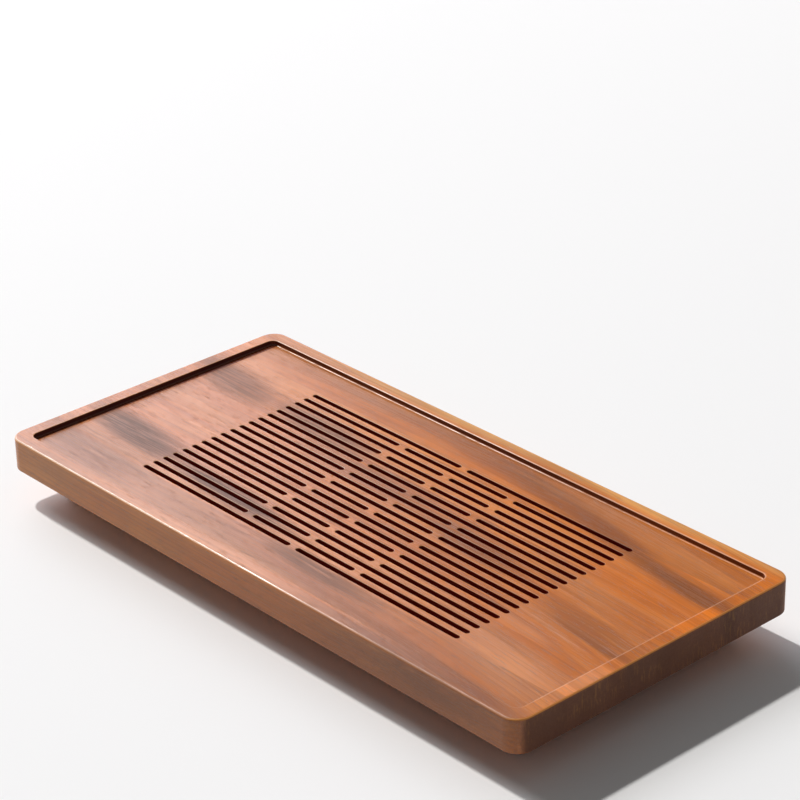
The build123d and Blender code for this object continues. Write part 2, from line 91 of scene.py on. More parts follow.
class Graph:
    """Adds nodes to one tree; an input given as a socket is linked, anything else is set."""

    def __init__(self, tree):
        self.tree = tree
        self.tree.nodes.clear()

    def add(self, kind, inputs=None, **settings):
        node = self.tree.nodes.new(kind)
        for key, value in settings.items():
            setattr(node, key, value)
        for key, value in (inputs or {}).items():
            if isinstance(value, bpy.types.NodeSocket):
                self.tree.links.new(value, node.inputs[key])
            else:
                node.inputs[key].default_value = value
        return node

    def math(self, operation, first, second=0.0):
        return self.add("ShaderNodeMath", {0: first, 1: second}, operation=operation).outputs[0]

    def vector(self, operation, first, second=(0.0, 0.0, 0.0)):
        inputs = {0: first, 1: second}
        return self.add("ShaderNodeVectorMath", inputs, operation=operation).outputs[0]

    def noise(self, vector, scale=1.0, detail=2.0, roughness=0.5):
        inputs = {"Vector": vector, "Scale": scale, "Detail": detail, "Roughness": roughness}
        return self.add("ShaderNodeTexNoise", inputs).outputs["Fac"]

    def stretch(self, vector, scale):
        return self.vector("MULTIPLY", vector, scale)

    def parts(self, vector):
        return self.add("ShaderNodeSeparateXYZ", {0: vector}).outputs

    def length(self, vector):
        return self.add("ShaderNodeVectorMath", {0: vector}, operation="LENGTH").outputs["Value"]

    def product(self, first, *others):
        for other in others:
            first = self.math("MULTIPLY", first, other)
        return first

    def remap(self, value, low, high, to_low=0.0, to_high=1.0):
        inputs = {0: value, 1: low, 2: high, 3: to_low, 4: to_high}
        return self.add("ShaderNodeMapRange", inputs, interpolation_type="SMOOTHSTEP").outputs[0]

    def marks(self, vector, scale, low, high, detail=2.0, roughness=0.5):
        """Stretched noise, turned into marks between 0 and 1."""
        noise = self.noise(self.stretch(vector, scale), detail=detail, roughness=roughness)
        return self.remap(noise, low, high)

    def blend(self, factor, first, second, kind="MIX"):
        node = self.add("ShaderNodeMix", data_type="RGBA", blend_type=kind)
        for index, value in ((0, factor), (6, first), (7, second)):
            if isinstance(value, bpy.types.NodeSocket):
                self.tree.links.new(value, node.inputs[index])
            else:
                node.inputs[index].default_value = value
        return node.outputs[2]

    def tint(self, base, rgb, *strengths):
        """Lays a colour over the base, as strongly as the strengths' product."""
        return self.blend(self.product(*strengths), base, colour(rgb))

    def surface(self, base, rough, relief, depth, relief_strength, even=None):
        """Ends the tree with the shader; even holds the values that are the same all over."""
        bump = self.add("ShaderNodeBump", {
            "Height": relief, "Distance": depth, "Strength": relief_strength,
        })
        shader = self.add("ShaderNodeBsdfPrincipled", {
            "Base Color": base, "Roughness": rough, "Normal": bump.outputs[0], **(even or {}),
        })
        self.add("ShaderNodeOutputMaterial", {"Surface": shader.outputs[0]})


def colour(rgb):
    return (*rgb, 1.0)


def new_finish(name):
    material = bpy.data.materials.new(name)
    material.use_nodes = True
    return material, Graph(material.node_tree)


# The deck's figure with painted shadows and sheen, a tint per row: centre x and y, half
# length and half width in millimetres, turn in degrees, strength
DECK_FIGURE_SHADOW_AND_SHEEN = (
    ("golden", 197, 43, 78, 24, -3, 0.95),
    ("golden", 222, 12, 50, 18, -5, 0.75),
    ("golden", 244, 40, 100, 10, 90, 1.00),
    ("golden", -185, 98, 70, 14, 0, 0.30),
    # pale rows at the near right and along the near rim: partly paler wood, partly painted sheen
    ("pale", 190, -74, 80, 26, -10, 0.75),
    ("pale", 168, -38, 45, 10, -6, 0.50),
    ("pale", -140, -100, 150, 18, 0, 0.30),
    ("pale", -60, -116, 190, 6, 0, 0.55),
    ("pale", -210, -117, 70, 7, 0, 0.60),
    ("pale", 244, -58, 27, 13, 90, 0.65),
    ("pale", 160, 97, 90, 9, -3, 0.25),
    ("pale", -135, 101, 70, 9, -2, 0.30),
    ("pale", 95, 103, 80, 8, -2, 0.30),
    ("sap", 20, 117, 360, 8, 0, 1.15),
    # these five dark rows at the left end are painted shadows of window bars on the deck and rim
    ("dark", -215, 50, 80, 25, -6, 0.85),
    ("dark", -196, -50, 90, 23, -6, 1.00),
    ("dark", -205, -82, 100, 34, -4, 0.45),
    ("dark", -243, 5, 120, 30, 90, 0.38),
    ("dark", -200, -112, 60, 12, 0, 0.20),
    ("dark", -85, -60, 105, 15, -3, 1.10),
    ("dark", -110, 46, 85, 20, -5, 0.85),
    ("dark", -5, 30, 100, 17, -4, 0.40),
    # painted shadow of a window bar across the slots
    ("dark", 62, 26, 40, 14, 82, 0.30),
    ("dark", 34, -84, 85, 13, -3, 0.72),
    ("dark", 218, 65, 72, 8, -7, 0.38),
    ("dark", 160, 76, 60, 7, -10, 0.22),
    ("dark", 62, 14, 50, 14, -8, 0.25),
    ("brown", 5, 97, 90, 12, -4, 0.50),
    ("brown", -40, 20, 110, 16, -4, 0.70),
    ("brown", 75, 89, 95, 16, -9, 0.80),
    ("brown", 152, 76, 80, 14, -11, 1.00),
    ("brown", 216, 66, 85, 12, -7, 1.45),
    ("brown", 82, 9, 75, 20, -8, 0.95),
    ("brown", 198, -9, 80, 14, -6, 0.75),
    ("brown", 214, -22, 75, 6, -7, 1.20),
    ("brown", 190, -112, 95, 12, -2, 0.95),
    ("brown", 140, -117, 130, 9, 0, 1.00),
    ("brown", 244, -12, 38, 12, 90, 0.60),
    ("brown", 243, 78, 26, 10, 90, 0.55),
    ("pale", 186, -29, 50, 2.4, -7, 0.75),
    ("pale", 205, -57, 45, 2.0, -8, 0.50),
)


# The walnut's noises: scale per metre along the grain and twice across it
WANDER = (3.0, 14.0, 14.0)
RING_BUNCHES = (0.6, 45.0, 45.0)
THIN_LINES = (5.0, 430.0, 430.0)

# Marks: such a scale, the values between which they fade in, the noise's detail and roughness
FIBRES = ((18.0, 850.0, 850.0), 0.34, 0.66, 4.0, 0.65)
FIBRE_BANDS = ((2.2, 190.0, 190.0), 0.36, 0.66, 3.0, 0.55)
PORES = ((80.0, 1500.0, 1500.0), 0.58, 0.72)
CLOUDS = ((32.0, 55.0, 55.0), 0.32, 0.68, 3.0, 0.55)
DARK_FIGURE = ((1.7, 24.0, 24.0), 0.45, 0.74, 4.0, 0.6)
BLUSH = ((4.0, 26.0, 26.0), 0.38, 0.62, 3.0, 0.6)
END_RAYS = ((260.0, 620.0, 120.0), 0.50, 0.68, 3.0, 0.65)
END_PATCHES = ((9.0, 22.0, 60.0), 0.40, 0.64)
PALE_FIGURE = ((3.0, 26.0, 26.0), 0.35, 0.70, 3.0, 0.6)
PALE_FIBRES = ((16.0, 900.0, 900.0), 0.32, 0.68, 3.0, 0.6)
PALE_FLECKS = ((90.0, 1300.0, 1300.0), 0.62, 0.72, 1.0)

# A metal's drawn lines, whose scale is its own: fading, detail and roughness
DRAWN_LINES = (0.30, 0.70, 3.0, 0.7)
STEEL_LINES = (7.0, 1500.0, 1500.0)
ZINC_LINES = (600.0, 600.0, 2400.0)

# How deep each surface's relief is, in metres
GRAIN_DEPTH = 0.00006
TEXTURE_DEPTH = 0.00004
STEEL_DEPTH = 0.00005
ZINC_DEPTH = 0.00002

# Where the deck is worn, and where shade, shadow and highlights are painted on it, in metres; a
# pair fades from its first to its second
SLOTS_X = (0.158, 0.157)
SLOTS_Y = (0.079, 0.078)
SLOT_MOUTH = (DECK, DECK - 0.0003)
RIM_FOOT = (DECK, DECK + 0.0008)
ENDS_INSIDE = (WELL_X + 0.0008, WELL_X + 0.0003)
SIDES_INSIDE = (WELL_Y + 0.0008, WELL_Y + 0.0003)
# the left rim's painted shadow on the deck
RIM_SHADOW_WIDTH = (0.0026, 0.0046)
RIM_SHADOW_EDGE = (0.0012, 0.0)
RIM_SHADOW_TOP = (DECK + 0.0020, DECK + 0.0010)
RIM_SHADOW_FOOT = (DECK - 0.0020, DECK - 0.0010)
RUBBED_RIM = (DECK + 0.0010, SLAB_TOP - 0.0002)
# where pale lines are painted as highlights on the rounded edges and the well's top edge
LIP_FOOT = (DECK - 0.0005, DECK - 0.0003)
LIP_TOP = (DECK + 0.0002, DECK + 0.0001)
TOP_EDGES = (DECK + 0.0020, DECK + 0.0026)
WELL_TOP = (SLAB_TOP - 0.0012, SLAB_TOP - 0.0005)
WELL_NEAR = (-WELL_Y, -WELL_Y + 0.020)
WELL_CORNER = 0.0055
WELL_LINE = ((-0.0001, 0.0002), (0.0013, 0.0007))

# The same by the surface's slope: 1 faces up and 0 sideways
STEEP = (0.75, 0.35)
ROUNDED = ((0.995, 0.95), (0.35, 0.60))


def painted_wall_shade(graph, x, y, z, upright):
    """How far a point lies on a wall of the slots, and on the rim's inner wall or in the left rim's
    shadow, 0 to 1: where shade is painted.
    """
    steep = graph.remap(graph.math("ABSOLUTE", upright), *STEEP)
    along = graph.math("ABSOLUTE", x)
    aside = graph.math("ABSOLUTE", y)
    inside_ends = graph.remap(along, *ENDS_INSIDE)
    inside_sides = graph.remap(aside, *SIDES_INSIDE)
    # painted shade on the slots' walls below the deck's face
    slots = graph.product(graph.remap(along, *SLOTS_X), graph.remap(aside, *SLOTS_Y),
                          graph.remap(z, *SLOT_MOUTH), steep)
    # painted shade on the rim's inner walls
    walls = graph.product(inside_ends, inside_sides, graph.remap(z, *RIM_FOOT), steep, 0.9)
    # painted shadow of the left rim on the deck at the foot of its wall, wider towards the far side
    width = graph.remap(y, -0.10, 0.10, *RIM_SHADOW_WIDTH)
    beyond = graph.math("SUBTRACT", graph.math("ADD", x, WELL_X), width)
    rim_shadow = graph.product(graph.remap(beyond, *RIM_SHADOW_EDGE), inside_ends, inside_sides,
                         graph.remap(z, *RIM_SHADOW_TOP), graph.remap(z, *RIM_SHADOW_FOOT), 0.85)
    return slots, graph.math("MAXIMUM", walls, rim_shadow)


def painted_well_edge_line(graph, place):
    """Where a painted highlight lies along the well's top edge, round its corners too, 0 to 1."""
    aside = graph.vector("ABSOLUTE", graph.stretch(place, (1.0, 1.0, 0.0)))
    aside = graph.vector("SUBTRACT", aside, (WELL_X - WELL_CORNER, WELL_Y - WELL_CORNER, 0.0))
    aside = graph.vector("MAXIMUM", aside, (0.0, 0.0, 0.0))
    beyond = graph.math("SUBTRACT", graph.length(aside), WELL_CORNER)
    begins, ends = WELL_LINE
    return graph.product(graph.remap(beyond, *begins), graph.remap(beyond, *ends))


def late_wood(graph, grain, heart, settings):
    """The dark side of each growth ring about the heart line."""
    across = graph.stretch(graph.vector("SUBTRACT", grain, (0.0, *heart)), (0.0, 1.0, 1.0))
    bunches = graph.noise(graph.stretch(grain, RING_BUNCHES), detail=1.0)
    ring = graph.math("DIVIDE", graph.length(across), settings.ring_spacing)
    ring = graph.math("ADD", ring, graph.product(bunches, settings.ring_unevenness))
    ring = graph.math("FRACT", ring)
    return graph.product(graph.math("POWER", ring, 2.2), graph.remap(ring, 1.0, 0.9))


def sawn_end(graph, shifted, settings):
    """Colour of the sawn ends: dark end grain with painted shade, flecked with rays."""
    rays = graph.marks(shifted, *END_RAYS)
    patches = graph.marks(shifted, *END_PATCHES)
    return graph.blend(graph.product(rays, patches, 0.75),
                       colour(settings.pore_colour), colour(settings.end_grain_colour))


def worn_top_and_painted_light(graph, base, place, normal, facing, settings):
    """Rubs the rim paler, paints highlights along its top edges and the well's top edge, and paints
    shade into the slots, onto the rim's inner walls and as the left rim's shadow on the deck.

    Returns the colour, and how much the surface is dulled or polished there.
    """
    x, y, z = graph.parts(place)
    upright = graph.parts(normal)[2]
    rubbed = graph.remap(z, *RUBBED_RIM, 1.0, settings.rim_polish)
    polish = graph.remap(z, *RUBBED_RIM, 0.0, -0.04)
    paler = graph.add("ShaderNodeCombineXYZ", {0: rubbed, 1: rubbed, 2: rubbed}).outputs[0]
    base = graph.blend(1.0, base, paler, kind="MULTIPLY")

    # painted highlights: pale lines on the rounded top edges, stronger towards the left end, and
    # along the well's top edge
    lips = graph.product(graph.remap(z, *LIP_FOOT), graph.remap(z, *LIP_TOP))
    tilted, not_steep = ROUNDED
    edge = graph.product(
        graph.remap(upright, *tilted), graph.remap(upright, *not_steep),
        graph.math("MAXIMUM", lips, graph.remap(z, *TOP_EDGES)), settings.edge_highlight_strength,
    )
    inner = graph.product(painted_well_edge_line(graph, place), settings.well_edge_highlight_strength,
                          graph.remap(z, *WELL_TOP), graph.remap(y, *WELL_NEAR, 0.25, 1.0))
    top_edge_highlight = graph.product(edge, graph.remap(x, -0.12, 0.16, 1.0, 0.20))
    base = graph.tint(base, settings.edge_highlight_colour, graph.math("MAXIMUM", top_edge_highlight, inner))
    # painted highlight: an orange line on the top edges that face the drawer's end
    base = graph.tint(base, settings.end_edge_highlight_colour, edge, graph.remap(facing, 0.10, 0.30, 0.0, 0.7))
    # painted shade in the slots and on the rim's inner walls, and the left rim's painted shadow
    slots, walls = painted_wall_shade(graph, x, y, z, upright)
    base = graph.tint(base, settings.slot_shade_colour, slots)
    base = graph.tint(base, settings.rim_wall_shade_colour, walls)
    dull = graph.product(edge, graph.remap(x, -0.02, 0.16, 0.0, 0.45))
    return base, graph.math("ADD", dull, polish)


def walnut(name, settings, board=(0.0, 0.0, 0.0), heart=(0.05, -0.09), along="X",
           tone=1.0, streaks=(), wear_and_painted_light=False):
    """Solid walnut: growth rings about a heart line beside the board, fibres, pores and figure.

    board shifts the pattern so that no two boards match, heart is the heart line's place
    across the board and in height, and along is the axis that the grain follows.
    """
    material, graph = new_finish(name)
    place = graph.add("ShaderNodeTexCoord").outputs["Object"]
    if along == "Y":
        place = graph.add("ShaderNodeVectorRotate", {"Vector": place, "Angle": math.pi / 2},
                          rotation_type="Z_AXIS").outputs[0]
    shifted = graph.vector("ADD", place, board)
    wander = graph.add("ShaderNodeTexNoise", {
        "Vector": graph.stretch(shifted, WANDER), "Scale": 1.0, "Detail": 2.0,
    }).outputs["Color"]
    wander = graph.vector("SUBTRACT", wander, (0.5, 0.5, 0.5))
    wander = graph.stretch(wander, (0.0, settings.grain_wander, settings.grain_wander))
    grain = graph.vector("ADD", shifted, wander)
    if along == "X":
        # the grain runs aside towards the drawer's end
        reach = graph.math("MAXIMUM", graph.parts(place)[0], 0.0)
        drift = graph.product(reach, reach, settings.grain_drift)
        grain = graph.vector("ADD", grain, graph.add("ShaderNodeCombineXYZ", {1: drift}).outputs[0])

    rings = late_wood(graph, grain, (board[1] + heart[0], board[2] + heart[1]), settings)
    fibre = graph.marks(grain, *FIBRES)
    band = graph.marks(grain, *FIBRE_BANDS)
    pores = graph.marks(grain, *PORES)
    cloud = graph.marks(grain, *CLOUDS)
    line = graph.noise(graph.stretch(grain, THIN_LINES), roughness=0.6)
    figure = graph.marks(grain, *DARK_FIGURE)
    blush = graph.marks(grain, *BLUSH)

    # the deck's figure and painted sheen under the grain's lines, the darkest bands and painted
    # window-bar shadows over them
    base = graph.blend(blush, colour(settings.light_colour), colour(settings.warm_colour))
    dark = graph.product(figure, settings.figure_strength)
    tints = {
        "golden": settings.golden_colour, "pale": settings.pale_colour,
        "sap": settings.sapwood_colour, "brown": settings.brown_colour,
    }
    for kind, x, y, length, width, turn, strength in streaks:
        mapped = graph.add("ShaderNodeMapping", {
            "Vector": graph.vector("ADD", place, wander),
            "Location": (x * MILLIMETRE, y * MILLIMETRE, SLAB_TOP),
            "Rotation": (0.0, 0.0, math.radians(turn)),
            "Scale": (length * MILLIMETRE, width * MILLIMETRE, SLAB_TOP),
        }, vector_type="TEXTURE").outputs[0]
        spot = graph.add("ShaderNodeTexGradient", {"Vector": mapped},
                         gradient_type="SPHERICAL").outputs["Fac"]
        spot = graph.product(graph.remap(spot, 0.0, 0.75, 0.0, strength),
                             graph.remap(fibre, -1.2, 0.9))
        # dark rows are heartwood streaks and painted shadows of window bars
        if kind == "dark":
            dark = graph.math("MAXIMUM", dark, spot)
        else:
            base = graph.tint(base, tints[kind], spot)
    base = graph.tint(base, settings.pale_colour, graph.remap(line, 0.44, 0.34), 0.22)
    for marks, strength in ((graph.remap(line, 0.56, 0.66), 0.28), (band, 0.20), (fibre, 0.27),
                            (cloud, 0.16), (rings, settings.ring_strength)):
        base = graph.tint(base, settings.deep_colour, marks, strength)
    # the streak colour lays both the dark streaks and the painted window-bar shadows
    base = graph.tint(base, settings.streak_and_shadow_colour, dark)
    base = graph.tint(base, settings.pore_colour, pores, 0.50)
    base = graph.blend(1.0, base, (tone, tone, tone, 1.0), kind="MULTIPLY")

    # the long sides are yellower, and the sawn ends are darker, as end grain and as painted shade
    normal = graph.add("ShaderNodeNewGeometry").outputs["Normal"]
    facing = graph.parts(normal)[0 if along == "X" else 1]
    flank = graph.parts(normal)[1 if along == "X" else 0]
    flank = graph.remap(graph.math("ABSOLUTE", flank), 0.5, 0.9)
    base = graph.blend(flank, base, colour(settings.side_tint), kind="MULTIPLY")
    end = graph.remap(graph.math("ABSOLUTE", facing), 0.75, 0.98)
    sawn = sawn_end(graph, shifted, settings)
    base = graph.blend(graph.product(end, settings.end_grain_and_shade), base, sawn)

    rough = settings.roughness
    # the deck's tops get wear, painted highlights and painted shade
    if wear_and_painted_light:
        base, wear = worn_top_and_painted_light(graph, base, place, normal, facing, settings)
        rough = graph.math("ADD", rough, wear)
    for marks, strength in ((fibre, 0.08), (end, 0.40), (dark, 0.20), (pores, 0.15)):
        rough = graph.math("ADD", rough, graph.product(marks, strength))
    relief = graph.math("SUBTRACT", graph.product(fibre, 0.5), pores)
    graph.surface(base, rough, relief, GRAIN_DEPTH, settings.grain_relief,
                  {"Specular IOR Level": 0.50})
    return material


def plain_finish(name, rgb, roughness, speck=60.0, depth=0.12):
    """A nearly even finish, with fine mottling of its colour, gloss and surface."""
    material, graph = new_finish(name)
    place = graph.add("ShaderNodeTexCoord").outputs["Object"]
    mottle = graph.noise(place, scale=speck, detail=4.0, roughness=0.6)
    darker = tuple(channel * (1.0 - depth) for channel in rgb)
    base = graph.blend(graph.remap(mottle, 0.3, 0.7), colour(rgb), colour(darker))
    rough = graph.remap(mottle, 0.25, 0.75, roughness - 0.05, roughness + 0.08)
    graph.surface(base, rough, mottle, TEXTURE_DEPTH, 0.5)
    return material


def pale_wood(name, light, dark, fleck, plies=None):
    """Birch or beech: a quiet figure, fine fibres and short flecks, and plies in a board's edge.

    plies holds the height of the board's underside and the thickness of a ply.
    """
    material, graph = new_finish(name)
    place = graph.add("ShaderNodeTexCoord").outputs["Object"]
    figure = graph.marks(place, *PALE_FIGURE)
    fibre = graph.marks(place, *PALE_FIBRES)
    flecks = graph.marks(place, *PALE_FLECKS)
    base = graph.blend(graph.product(figure, 0.45), colour(light), colour(dark))
    base = graph.tint(base, dark, fibre, 0.30)
    base = graph.tint(base, fleck, flecks, 0.50)
    if plies:
        bottom, thickness = plies
        height = graph.parts(place)[2]
        layer = graph.math("DIVIDE", graph.math("SUBTRACT", height, bottom), thickness)
        crossed = graph.math("GREATER_THAN", graph.math("FRACT", graph.product(layer, 0.5)), 0.5)
        upright = graph.parts(graph.add("ShaderNodeNewGeometry").outputs["Normal"])[2]
        edge = graph.remap(graph.math("ABSOLUTE", upright), 0.6, 0.4)
        base = graph.tint(base, fleck, crossed, edge, 0.7)
    rough = graph.math("ADD", 0.52, graph.product(fibre, 0.14))
    relief = graph.math("SUBTRACT", fibre, flecks)
    graph.surface(base, rough, relief, TEXTURE_DEPTH, 0.5, {"Specular IOR Level": 0.35})
    return material


def metal(name, rgb, roughness, line_scale, line_depth, line_colour):
    """Bare or plated metal with drawn or brushed lines, faint clouds and rubbed spots."""
    material, graph = new_finish(name)
    place = graph.add("ShaderNodeTexCoord").outputs["Object"]
    lines = graph.marks(place, line_scale, *DRAWN_LINES)
    cloud = graph.remap(graph.noise(place, scale=45.0, detail=4.0, roughness=0.6), 0.35, 0.70)
    spots = graph.remap(graph.noise(place, scale=420.0), 0.60, 0.75)
    base = graph.tint(colour(rgb), line_colour, lines, 0.45)
    base = graph.tint(base, line_colour, cloud, 0.15)
    rough = roughness
    for marks, strength in ((lines, 0.10), (cloud, 0.03), (spots, 0.10)):
        rough = graph.math("ADD", rough, graph.product(marks, strength))
    graph.surface(base, rough, lines, line_depth, 0.4, {"Metallic": 1.0})
    return material


def dress(node_name, material):
    """Gives a CAD node its finish."""
    slots = NODES[node_name].data.materials
    slots.clear()
    slots.append(material)


def islands(node_name):
    """Lowest and highest corner of each separate solid in a CAD node."""
    work = bmesh.new()
    work.from_mesh(NODES[node_name].data)
    bmesh.ops.remove_doubles(work, verts=work.verts, dist=0.000001)
    waiting = set(work.verts)
    found = []
    while waiting:
        group = [waiting.pop()]
        for vert in group:
            for edge in vert.link_edges:
                other = edge.other_vert(vert)
                if other in waiting:
                    waiting.discard(other)
                    group.append(other)
        low = Vector(min(vert.co[axis] for vert in group) for axis in range(3))
        high = Vector(max(vert.co[axis] for vert in group) for axis in range(3))
        found.append((low, high))
    work.free()
    return sorted(found, key=lambda box: tuple(box[0]))


class Shape(Graph):
    """A Geometry Nodes tree with named inputs for its sizes."""

    def __init__(self, name, sizes):
        super().__init__(bpy.data.node_groups.new(name, "GeometryNodeTree"))
        sockets = self.tree.interface
        sockets.new_socket("Geometry", in_out="OUTPUT", socket_type="NodeSocketGeometry")
        sockets.new_socket("Places", in_out="INPUT", socket_type="NodeSocketGeometry")
        for key, value in sizes.items():
            size = sockets.new_socket(key, in_out="INPUT", socket_type="NodeSocketFloat")
            size.default_value = value
            size.subtype = "DISTANCE"
        finish = sockets.new_socket("Finish", in_out="INPUT", socket_type="NodeSocketMaterial")
        self.finish = finish.identifier
        self.given = self.add("NodeGroupInput").outputs

    def turned(self, profile, radius, height, around=32):
        """Turns a profile of (radius share, height share) points about the upright axis."""
        rows = len(profile)
        sheet = self.add("GeometryNodeMeshGrid", {
            "Size X": 1.0, "Size Y": 1.0, "Vertices X": around + 1, "Vertices Y": rows,
        })
        turn, along, _ = self.parts(sheet.outputs["UV Map"])
        shares = []
        for axis in (0, 1):
            curve = self.add("ShaderNodeFloatCurve", {"Factor": 1.0, "Value": along})
            points = curve.mapping.curves[0].points
            for step, point in enumerate(profile):
                spot = (step / (rows - 1), point[axis])
                if step in (0, rows - 1):
                    points[0 if step == 0 else -1].location = spot
                else:
                    points.new(*spot)
            for point in points:
                point.handle_type = "VECTOR"
            curve.mapping.update()
            shares.append(curve.outputs[0])
        return self.wrapped(sheet, turn, self.product(shares[0], radius),
                            self.product(shares[1], height))

    def wrapped(self, sheet, turn, radius, height):
        """Wraps a flat grid round the upright axis and welds its seam and poles."""
        angle = self.product(turn, math.tau)
        place = self.add("ShaderNodeCombineXYZ", {
            0: self.product(radius, self.math("COSINE", angle)),
            1: self.product(radius, self.math("SINE", angle)),
            2: height,
        })
        moved = self.add("GeometryNodeSetPosition", {
            "Geometry": sheet.outputs["Mesh"], "Position": place.outputs[0],
        })
        return self.add("GeometryNodeMergeByDistance", {
            "Geometry": moved.outputs[0], "Distance": WELD,
        }).outputs[0]

    def threaded(self, radius, length, tip, pitch, depth, turns, around=18):
        """A pointed shank with a helical thread."""
        rows = turns * ROWS_A_TURN + 1
        sheet = self.add("GeometryNodeMeshGrid", {
            "Size X": 1.0, "Size Y": 1.0, "Vertices X": around + 1, "Vertices Y": rows,
        })
        turn, along, _ = self.parts(sheet.outputs["UV Map"])
        height = self.product(along, length)
        left = self.math("DIVIDE", self.math("SUBTRACT", length, height), tip)
        taper = self.math("MINIMUM", left, 1.0)
        rise = self.math("SUBTRACT", self.math("DIVIDE", height, pitch), turn)
        wave = self.math("PINGPONG", rise, 0.5)
        cut = self.product(wave, 2.0, depth)
        reach = self.product(self.math("SUBTRACT", radius, cut), taper)
        return self.wrapped(sheet, turn, reach, height)

    def recess(self, body, width, depth, bottom):
        """Cuts a cross recess into the underside of a head."""
        blades = []
        for share in ((1.0, BLADE_SHARE), (BLADE_SHARE, 1.0)):
            size = self.add("ShaderNodeCombineXYZ", {
                0: self.product(width, share[0]),
                1: self.product(width, share[1]),
                2: self.product(depth, 2.0),
            })
            blade = self.add("GeometryNodeMeshCube", {"Size": size.outputs[0]})
            place = self.add("ShaderNodeCombineXYZ", {2: bottom})
            blades.append(self.add("GeometryNodeTransform", {
                "Geometry": blade.outputs[0], "Translation": place.outputs[0],
            }).outputs[0])
        cut = self.add("GeometryNodeMeshBoolean", {"Mesh 1": body}, operation="DIFFERENCE")
        for blade in blades:
            self.tree.links.new(blade, cut.inputs["Mesh 2"])
        return cut.outputs[0]

    def joined(self, *pieces):
        join = self.add("GeometryNodeJoinGeometry")
        for piece in pieces:
            self.tree.links.new(piece, join.inputs[0])
        return join.outputs[0]

    def placed(self, piece, seed=None):
        """Puts the piece at every given place, then makes real, shaded, finished geometry of it."""
        piece = self.add("GeometryNodeSetShadeSmooth", {"Geometry": piece}).outputs[0]
        bend = self.add("GeometryNodeInputMeshEdgeAngle").outputs["Unsigned Angle"]
        piece = self.add("GeometryNodeSetShadeSmooth", {
            "Geometry": piece, "Selection": self.math("GREATER_THAN", bend, CREASE),
            "Shade Smooth": False,
        }, domain="EDGE").outputs[0]
        put = self.add("GeometryNodeInstanceOnPoints", {
            "Points": self.given["Places"], "Instance": piece,
        })
        if seed is not None:
            turn = self.add("FunctionNodeRandomValue", {
                "Min": (0.0, 0.0, 0.0), "Max": (0.0, 0.0, math.tau), "Seed": seed,
            }, data_type="FLOAT_VECTOR")
            self.tree.links.new(turn.outputs[0], put.inputs["Rotation"])
        real = self.add("GeometryNodeRealizeInstances", {"Geometry": put.outputs[0]})
        dressed = self.add("GeometryNodeSetMaterial", {
            "Geometry": real.outputs[0], "Material": self.given["Finish"],
        })
        self.add("NodeGroupOutput", {"Geometry": dressed.outputs[0]})


def grow(name, shape, places, finish, body, replaced):
    """Runs a tree on a cloud of places and keeps the result as one plain mesh."""
    seed = bpy.data.meshes.new(name + "_places")
    seed.from_pydata(places, [], [])
    holder = bpy.data.objects.new(name + "_places", seed)
    bpy.context.scene.collection.objects.link(holder)
    modifier = holder.modifiers.new("shape", "NODES")
    modifier.node_group = shape.tree
    modifier[shape.finish] = finish
    bpy.context.view_layer.update()
    mesh = bpy.data.meshes.new_from_object(holder.evaluated_get(
        bpy.context.evaluated_depsgraph_get()))
    holder.modifiers.remove(modifier)
    bpy.data.objects.remove(holder)
    if len(mesh.polygons) == 0:
        raise RuntimeError(f"{name} came out empty")
    mesh.name = name
    piece = bpy.data.objects.new(name, mesh)
    bpy.context.scene.collection.objects.link(piece)
    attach(piece, body)
    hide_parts(*replaced)
    return piece


